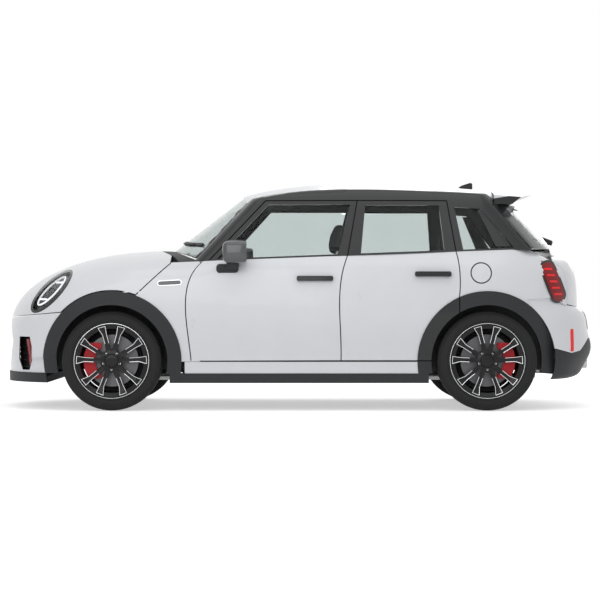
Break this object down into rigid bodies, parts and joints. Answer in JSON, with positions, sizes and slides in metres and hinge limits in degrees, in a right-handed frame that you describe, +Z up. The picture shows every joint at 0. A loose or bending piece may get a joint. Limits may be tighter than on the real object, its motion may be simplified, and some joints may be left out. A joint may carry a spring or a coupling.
{
  "type": "hot hatchback",
  "caption": "Five-door compact hatchback with clamshell bonnet, black arch cladding and pillars, opening doors, bonnet and tailgate, and steered front wheels.",
  "frame": {"origin": "on the ground, midway along the length and width of the bounding box", "axes": "+X from nose to tail, +Y to the car's right, +Z up; the nose points to -X"},
  "size_m": [4.0203, 2.06, 1.549],
  "materials": {
    "white_paint": "gloss",
    "black_plastic": "fine grain",
    "black_gloss": "gloss",
    "clear_glass": "polished",
    "lamp_lens": "clear",
    "red_lens": "gloss",
    "tyre_rubber": "matt",
    "rim_black": "gloss",
    "disc_steel": "machined",
    "caliper_red": "gloss",
    "cast_metal": "cast",
    "underbody": "sealed",
    "seat_cloth": "woven",
    "dash_plastic": "soft grain",
    "exhaust_steel": "brushed"
  },
  "bodies": {
    "body": {"arch_cladding": "black_plastic", "body_frame": "underbody", "cowl_panel": "black_plastic", "dashboard": "dash_plastic", "engine_block": "cast_metal", "exhaust": "exhaust_steel", "fixed_glass": "clear_glass", "front_bumper": "white_paint", "front_grille": "black_plastic", "front_lip": "black_plastic", "front_seats": "seat_cloth", "front_subframe": "cast_metal", "front_wings": "white_paint", "pillar_frame": "black_gloss", "quarter_panels": "white_paint", "rear_axle": "cast_metal", "rear_bumper": "white_paint", "rear_calipers": "caliper_red", "rear_diffuser": "black_plastic", "rear_seat": "seat_cloth", "roof_antenna": "black_gloss", "roof_panel": "white_paint", "sill_skirts": "white_paint", "tail_lamps": "red_lens"},
    "front_door_left": {"front_door_left": "white_paint", "front_trim_left": "black_gloss", "front_glass_left": "clear_glass"},
    "front_door_right": {"front_door_right": "white_paint", "front_trim_right": "black_gloss", "front_glass_right": "clear_glass"},
    "rear_door_left": {"rear_door_left": "white_paint", "rear_trim_left": "black_gloss", "rear_glass_left": "clear_glass"},
    "rear_door_right": {"rear_door_right": "white_paint", "rear_trim_right": "black_gloss", "rear_glass_right": "clear_glass"},
    "wheel_front_left": {"tyre_front_left": "tyre_rubber", "rim_front_left": "rim_black", "disc_front_left": "disc_steel"},
    "wheel_front_right": {"tyre_front_right": "tyre_rubber", "rim_front_right": "rim_black", "disc_front_right": "disc_steel"},
    "wheel_rear_left": {"tyre_rear_left": "tyre_rubber", "rim_rear_left": "rim_black", "disc_rear_left": "disc_steel"},
    "wheel_rear_right": {"tyre_rear_right": "tyre_rubber", "rim_rear_right": "rim_black", "disc_rear_right": "disc_steel"},
    "knuckle_left": {"front_knuckle_left": "cast_metal", "front_caliper_left": "caliper_red"},
    "knuckle_right": {"front_knuckle_right": "cast_metal", "front_caliper_right": "caliper_red"},
    "bonnet": {"bonnet": "white_paint", "headlamp_bezels": "black_gloss", "headlamp_lenses": "lamp_lens"},
    "tailgate": {"tailgate": "white_paint", "hatch_glass": "clear_glass", "roof_spoiler": "white_paint"},
    "fuel_flap": {"fuel_flap": "white_paint"},
    "steering_wheel": {"steering_wheel": "dash_plastic"}
  },
  "joints": [
    {"name": "steer_left", "type": "hinge", "parent": "body", "child": "knuckle_left", "pos_m": [-1.241, -0.692, 0.329], "axis": [0, 0, 1], "range_deg": [-32, 32]},
    {"name": "spin_front_left", "type": "hinge", "parent": "knuckle_left", "child": "wheel_front_left", "pos_m": [-1.241, -0.737, 0.329], "axis": [0, 1, 0], "continuous": true},
    {"name": "spin_rear_left", "type": "hinge", "parent": "body", "child": "wheel_rear_left", "pos_m": [1.234, -0.737, 0.329], "axis": [0, 1, 0], "continuous": true},
    {"name": "front_door_left_hinge", "type": "hinge", "parent": "body", "child": "front_door_left", "pos_m": [-0.735, -0.864, 0.6], "axis": [0, 0, -1], "range_deg": [0, 66]},
    {"name": "rear_door_left_hinge", "type": "hinge", "parent": "body", "child": "rear_door_left", "pos_m": [0.272, -0.864, 0.6], "axis": [0, 0, -1], "range_deg": [0, 66]},
    {"name": "steer_right", "type": "hinge", "parent": "body", "child": "knuckle_right", "pos_m": [-1.241, 0.692, 0.329], "axis": [0, 0, 1], "range_deg": [-32, 32]},
    {"name": "spin_front_right", "type": "hinge", "parent": "knuckle_right", "child": "wheel_front_right", "pos_m": [-1.241, 0.737, 0.329], "axis": [0, 1, 0], "continuous": true},
    {"name": "spin_rear_right", "type": "hinge", "parent": "body", "child": "wheel_rear_right", "pos_m": [1.234, 0.737, 0.329], "axis": [0, 1, 0], "continuous": true},
    {"name": "front_door_right_hinge", "type": "hinge", "parent": "body", "child": "front_door_right", "pos_m": [-0.735, 0.864, 0.6], "axis": [0, 0, 1], "range_deg": [0, 66]},
    {"name": "rear_door_right_hinge", "type": "hinge", "parent": "body", "child": "rear_door_right", "pos_m": [0.272, 0.864, 0.6], "axis": [0, 0, 1], "range_deg": [0, 66]},
    {"name": "bonnet_hinge", "type": "hinge", "parent": "body", "child": "bonnet", "pos_m": [-0.858, 0, 1.072], "axis": [0, 1, 0], "range_deg": [0, 50]},
    {"name": "tailgate_hinge", "type": "hinge", "parent": "body", "child": "tailgate", "pos_m": [1.304, 0, 1.494], "axis": [0, -1, 0], "range_deg": [0, 80]},
    {"name": "fuel_flap_hinge", "type": "hinge", "parent": "body", "child": "fuel_flap", "pos_m": [1.126, -0.862, 0.908], "axis": [0, 0, -1], "range_deg": [0, 90]},
    {"name": "steering_wheel_turn", "type": "hinge", "parent": "body", "child": "steering_wheel", "pos_m": [-0.43, -0.37, 0.825], "axis": [-0.9135, 0, -0.4067], "range_deg": [-448, 448]}
  ],
  "couplings": [
    {"joint": "steer_right", "follows": "steer_left", "ratio": 1},
    {"joint": "steering_wheel_turn", "follows": "steer_left", "ratio": -14}
  ]
}
